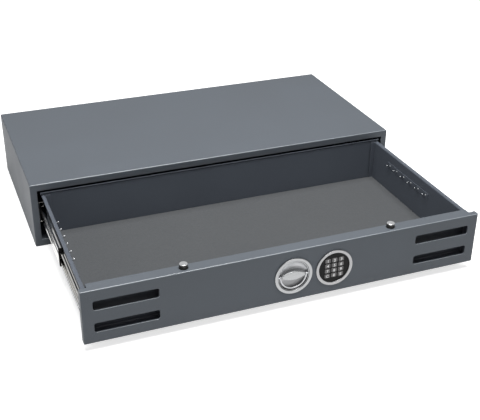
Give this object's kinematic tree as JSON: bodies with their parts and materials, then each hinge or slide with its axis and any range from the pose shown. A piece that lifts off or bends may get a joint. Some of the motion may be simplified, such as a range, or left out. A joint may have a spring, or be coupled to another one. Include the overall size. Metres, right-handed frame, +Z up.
{
  "type": "under desk drawer safe",
  "caption": "Wide flat steel safe box for under a desk, with one full width drawer on slides, a recessed turning handle, a round keypad and bolts in the drawer's top edge.",
  "frame": {"origin": "middle of the casing's underside", "axes": "+X to the right of someone who faces the drawer, +Y back into the casing, +Z up"},
  "size_m": [0.96, 0.93, 0.167],
  "materials": {
    "body_paint": "fine textured powder coat, dark grey",
    "dark_paint": "matt dark coat",
    "zinc": "bright zinc plate",
    "satin_chrome": "satin",
    "chrome": "polished",
    "black_plastic": "matt",
    "rubber": "matt",
    "felt": "short grey needle felt"
  },
  "bodies": {
    "casing": {"casing_shell": "body_paint", "casing_base": "body_paint", "casing_back": "body_paint", "front_frame": "body_paint", "strike_rail": "zinc", "rear_buffer": "rubber", "slide_bracket_left": "zinc", "slide_bracket_right": "zinc", "slide_outer_left": "zinc", "slide_outer_right": "zinc"},
    "drawer": {"drawer_floor": "body_paint", "drawer_back": "body_paint", "drawer_wall_left": "body_paint", "drawer_wall_right": "body_paint", "floor_mat": "felt", "front_panel": "body_paint", "lock_cover": "body_paint", "slot_pan_left": "dark_paint", "slot_pan_right": "dark_paint", "slide_inner_left": "zinc", "slide_inner_right": "zinc", "handle_housing": "satin_chrome", "keypad_ring": "satin_chrome", "keypad_body": "black_plastic", "lock_body": "zinc", "lock_chassis": "zinc", "bolt_guide_left": "zinc", "bolt_guide_right": "zinc", "key_rail_left": "dark_paint", "key_rail_right": "dark_paint"},
    "handle": {"handle_dish": "satin_chrome", "handle_spindle": "zinc", "scroll_cam": "zinc", "bail_pin_left": "chrome", "bail_pin_right": "chrome"},
    "bail": {"handle_bail": "satin_chrome"},
    "middle_left": {"slide_middle_left": "zinc", "slide_end_left": "black_plastic"},
    "outer_cage_left": {"ball_cage_outer_left": "zinc"},
    "inner_cage_left": {"ball_cage_inner_left": "zinc"},
    "bar_left": {"drive_bar_left": "zinc"},
    "bolt_left": {"locking_bolt_left": "chrome"},
    "middle_right": {"slide_middle_right": "zinc", "slide_end_right": "black_plastic"},
    "outer_cage_right": {"ball_cage_outer_right": "zinc"},
    "inner_cage_right": {"ball_cage_inner_right": "zinc"},
    "bar_right": {"drive_bar_right": "zinc"},
    "bolt_right": {"locking_bolt_right": "chrome"},
    "key_1_cap": {"key_1": "black_plastic"},
    "key_2_cap": {"key_2": "black_plastic"},
    "key_3_cap": {"key_3": "black_plastic"},
    "key_4_cap": {"key_4": "black_plastic"},
    "key_5_cap": {"key_5": "black_plastic"},
    "key_6_cap": {"key_6": "black_plastic"},
    "key_7_cap": {"key_7": "black_plastic"},
    "key_8_cap": {"key_8": "black_plastic"},
    "key_9_cap": {"key_9": "black_plastic"},
    "key_clear_cap": {"key_clear": "black_plastic"},
    "key_0_cap": {"key_0": "black_plastic"},
    "key_enter_cap": {"key_enter": "black_plastic"}
  },
  "joints": [
    {"name": "drawer_slide", "type": "slide", "parent": "casing", "child": "drawer", "axis": [0, 1, 0], "range_m": [0, 0.457]},
    {"name": "middle_left_slide", "type": "slide", "parent": "casing", "child": "middle_left", "axis": [0, 1, 0], "range_m": [0, 0.2285]},
    {"name": "outer_cage_left_slide", "type": "slide", "parent": "casing", "child": "outer_cage_left", "axis": [0, 1, 0], "range_m": [0, 0.11425]},
    {"name": "inner_cage_left_slide", "type": "slide", "parent": "casing", "child": "inner_cage_left", "axis": [0, 1, 0], "range_m": [0, 0.34275]},
    {"name": "middle_right_slide", "type": "slide", "parent": "casing", "child": "middle_right", "axis": [0, 1, 0], "range_m": [0, 0.2285]},
    {"name": "outer_cage_right_slide", "type": "slide", "parent": "casing", "child": "outer_cage_right", "axis": [0, 1, 0], "range_m": [0, 0.11425]},
    {"name": "inner_cage_right_slide", "type": "slide", "parent": "casing", "child": "inner_cage_right", "axis": [0, 1, 0], "range_m": [0, 0.34275]},
    {"name": "handle_turn", "type": "hinge", "parent": "drawer", "child": "handle", "pos_m": [0, -0.692, 0.083], "axis": [0, 1, 0], "range_deg": [0, 90]},
    {"name": "bail_fold", "type": "hinge", "parent": "handle", "child": "bail", "pos_m": [0, -0.6915, 0.083], "axis": [-1, 0, 0], "range_deg": [0, 90]},
    {"name": "bar_left_slide", "type": "slide", "parent": "drawer", "child": "bar_left", "axis": [1, 0, 0], "range_m": [0, 0.014]},
    {"name": "bolt_left_slide", "type": "slide", "parent": "drawer", "child": "bolt_left", "axis": [0, 0, -1], "range_m": [0, 0.014]},
    {"name": "bar_right_slide", "type": "slide", "parent": "drawer", "child": "bar_right", "axis": [-1, 0, 0], "range_m": [0, 0.014]},
    {"name": "bolt_right_slide", "type": "slide", "parent": "drawer", "child": "bolt_right", "axis": [0, 0, -1], "range_m": [0, 0.014]},
    {"name": "key_1_press", "type": "slide", "parent": "drawer", "child": "key_1_cap", "axis": [0, 1, 0], "range_m": [0, 0.001], "stiffness_N_per_m": 800},
    {"name": "key_2_press", "type": "slide", "parent": "drawer", "child": "key_2_cap", "axis": [0, 1, 0], "range_m": [0, 0.001], "stiffness_N_per_m": 800},
    {"name": "key_3_press", "type": "slide", "parent": "drawer", "child": "key_3_cap", "axis": [0, 1, 0], "range_m": [0, 0.001], "stiffness_N_per_m": 800},
    {"name": "key_4_press", "type": "slide", "parent": "drawer", "child": "key_4_cap", "axis": [0, 1, 0], "range_m": [0, 0.001], "stiffness_N_per_m": 800},
    {"name": "key_5_press", "type": "slide", "parent": "drawer", "child": "key_5_cap", "axis": [0, 1, 0], "range_m": [0, 0.001], "stiffness_N_per_m": 800},
    {"name": "key_6_press", "type": "slide", "parent": "drawer", "child": "key_6_cap", "axis": [0, 1, 0], "range_m": [0, 0.001], "stiffness_N_per_m": 800},
    {"name": "key_7_press", "type": "slide", "parent": "drawer", "child": "key_7_cap", "axis": [0, 1, 0], "range_m": [0, 0.001], "stiffness_N_per_m": 800},
    {"name": "key_8_press", "type": "slide", "parent": "drawer", "child": "key_8_cap", "axis": [0, 1, 0], "range_m": [0, 0.001], "stiffness_N_per_m": 800},
    {"name": "key_9_press", "type": "slide", "parent": "drawer", "child": "key_9_cap", "axis": [0, 1, 0], "range_m": [0, 0.001], "stiffness_N_per_m": 800},
    {"name": "key_clear_press", "type": "slide", "parent": "drawer", "child": "key_clear_cap", "axis": [0, 1, 0], "range_m": [0, 0.001], "stiffness_N_per_m": 800},
    {"name": "key_0_press", "type": "slide", "parent": "drawer", "child": "key_0_cap", "axis": [0, 1, 0], "range_m": [0, 0.001], "stiffness_N_per_m": 800},
    {"name": "key_enter_press", "type": "slide", "parent": "drawer", "child": "key_enter_cap", "axis": [0, 1, 0], "range_m": [0, 0.001], "stiffness_N_per_m": 800}
  ],
  "couplings": [
    {"joint": "middle_left_slide", "follows": "drawer_slide", "ratio": 0.5},
    {"joint": "outer_cage_left_slide", "follows": "drawer_slide", "ratio": 0.25},
    {"joint": "inner_cage_left_slide", "follows": "drawer_slide", "ratio": 0.75},
    {"joint": "middle_right_slide", "follows": "drawer_slide", "ratio": 0.5},
    {"joint": "outer_cage_right_slide", "follows": "drawer_slide", "ratio": 0.25},
    {"joint": "inner_cage_right_slide", "follows": "drawer_slide", "ratio": 0.75},
    {"joint": "bar_left_slide", "follows": "handle_turn", "m_per_rad": 0.0089126},
    {"joint": "bolt_left_slide", "follows": "handle_turn", "m_per_rad": 0.0089126},
    {"joint": "bar_right_slide", "follows": "handle_turn", "m_per_rad": 0.0089126},
    {"joint": "bolt_right_slide", "follows": "handle_turn", "m_per_rad": 0.0089126}
  ]
}
